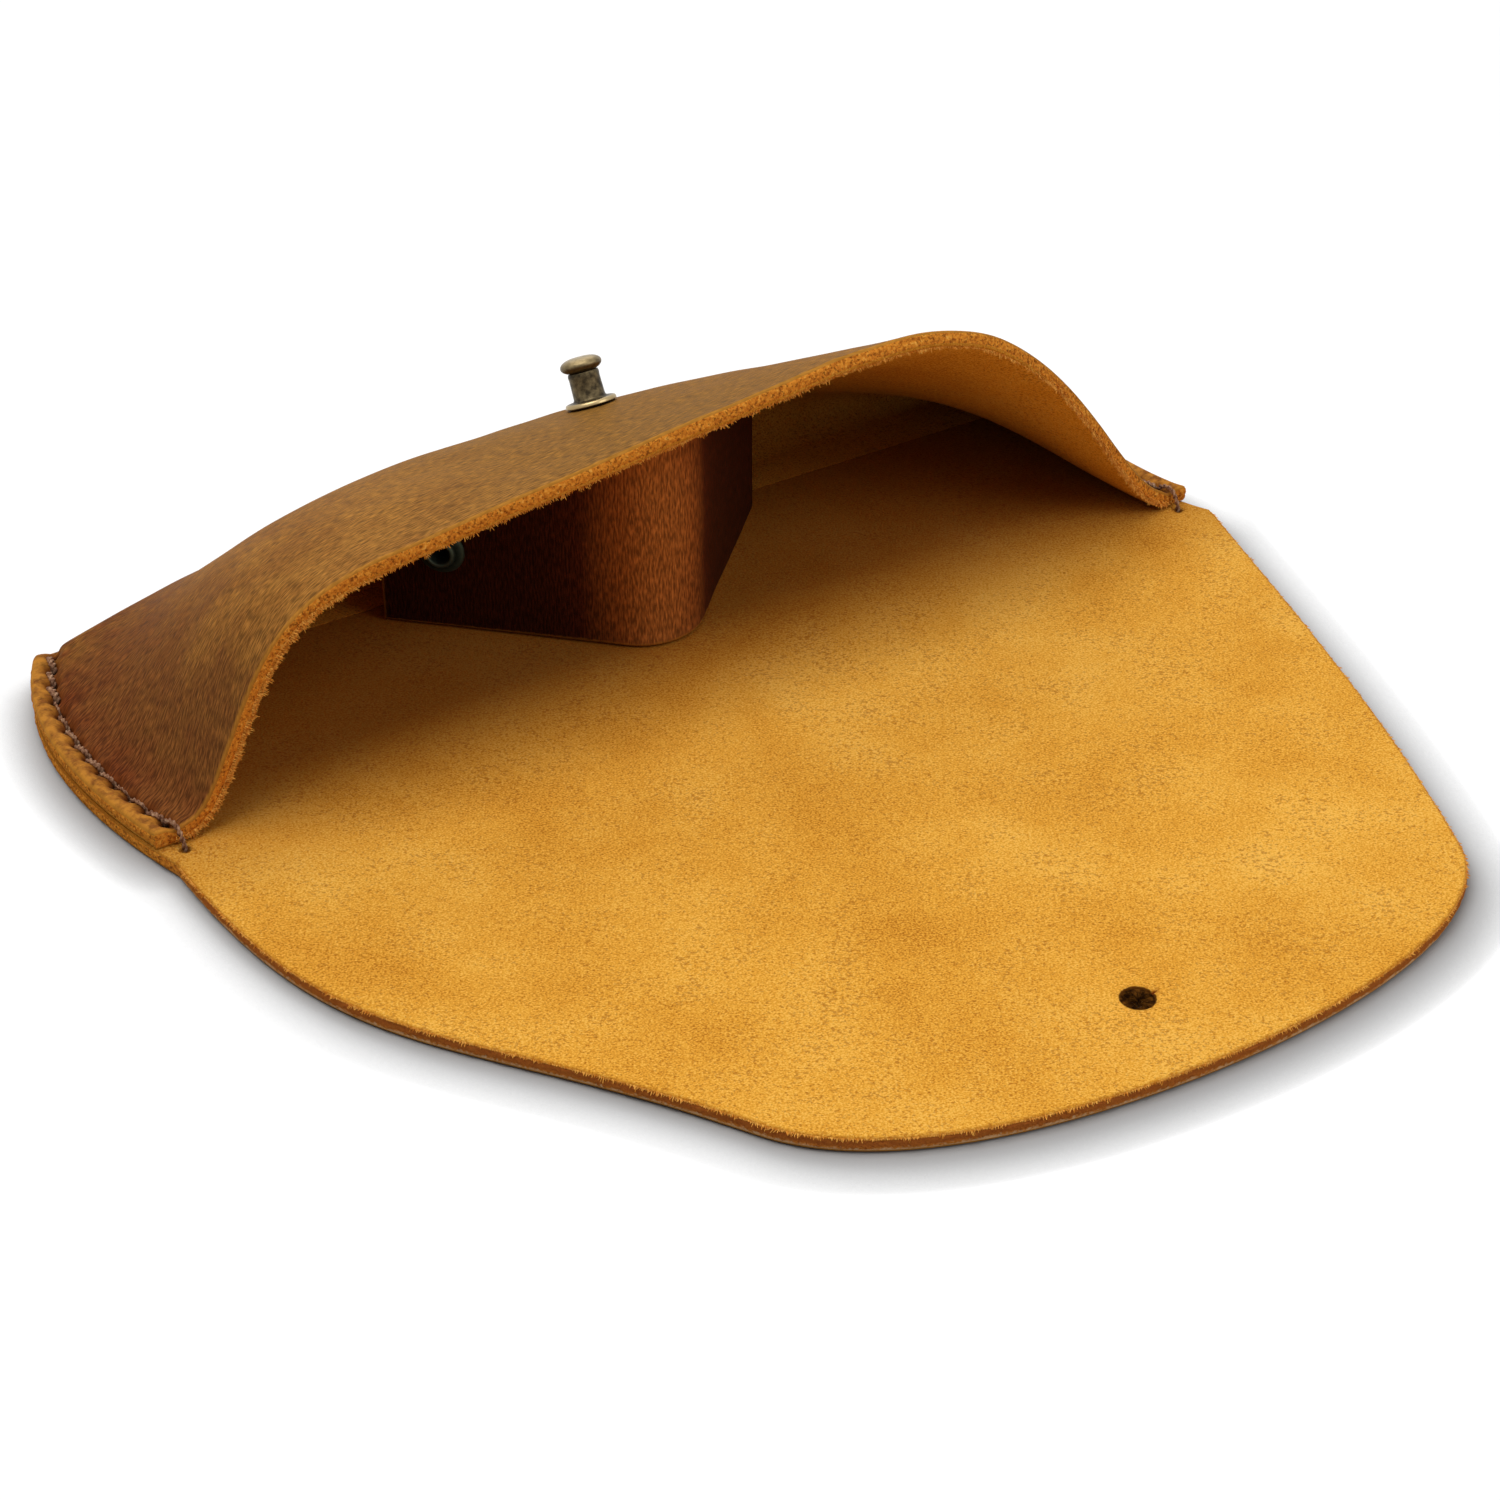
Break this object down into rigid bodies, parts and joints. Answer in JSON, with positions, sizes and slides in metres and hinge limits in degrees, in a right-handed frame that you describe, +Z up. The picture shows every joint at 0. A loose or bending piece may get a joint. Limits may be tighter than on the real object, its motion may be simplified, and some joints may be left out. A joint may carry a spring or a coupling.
{
  "type": "eyeglasses case",
  "caption": "Soft leather eyeglasses pouch with a bulged front, saddle-stitched sides, a nose-shaped band inside and a long flap that folds over to a button stud.",
  "frame": {"origin": "middle of the mouth line, on the underside of the back panel", "axes": "+X along the mouth to the right, +Y from the mouth to the bottom fold, +Z up from the face it lies on"},
  "size_m": [0.1727, 0.1609, 0.0439],
  "materials": {
    "grain_leather": "brown pull-up grain, fine streaks, satin",
    "flesh_leather": "mustard flesh side, matte nap",
    "band_leather": "brown grain, satin",
    "thread": "waxed twisted thread",
    "antique_brass": "antique, worn bright on top",
    "dark_brass": "dark greenish antique"
  },
  "bodies": {
    "pouch": {"back_panel": "flesh_leather", "front_panel": "grain_leather", "left_seam_thread": "thread", "right_seam_thread": "thread", "button_stud": "antique_brass", "stud_screw": "antique_brass", "nose_band": "band_leather", "band_rivet": "dark_brass", "band_rivet_washer": "dark_brass"},
    "spine": {"flap_spine": "flesh_leather"},
    "crown": {"flap_crown": "flesh_leather"},
    "tongue": {"flap_tongue": "flesh_leather"}
  },
  "joints": [
    {"name": "spine_fold", "type": "hinge", "parent": "pouch", "child": "spine", "pos_m": [0, -0.005, 0.0022], "axis": [-1, 0, 0], "range_deg": [0, 95]},
    {"name": "crown_fold", "type": "hinge", "parent": "spine", "child": "crown", "pos_m": [0, -0.0475, 0.0022], "axis": [-1, 0, 0], "range_deg": [0, 54]},
    {"name": "tongue_fold", "type": "hinge", "parent": "crown", "child": "tongue", "pos_m": [0, -0.0545, 0.0022], "axis": [-1, 0, 0], "range_deg": [0, 54]}
  ],
  "couplings": [
    {"joint": "crown_fold", "follows": "spine_fold", "ratio": 0.5684},
    {"joint": "tongue_fold", "follows": "spine_fold", "ratio": 0.5684}
  ]
}
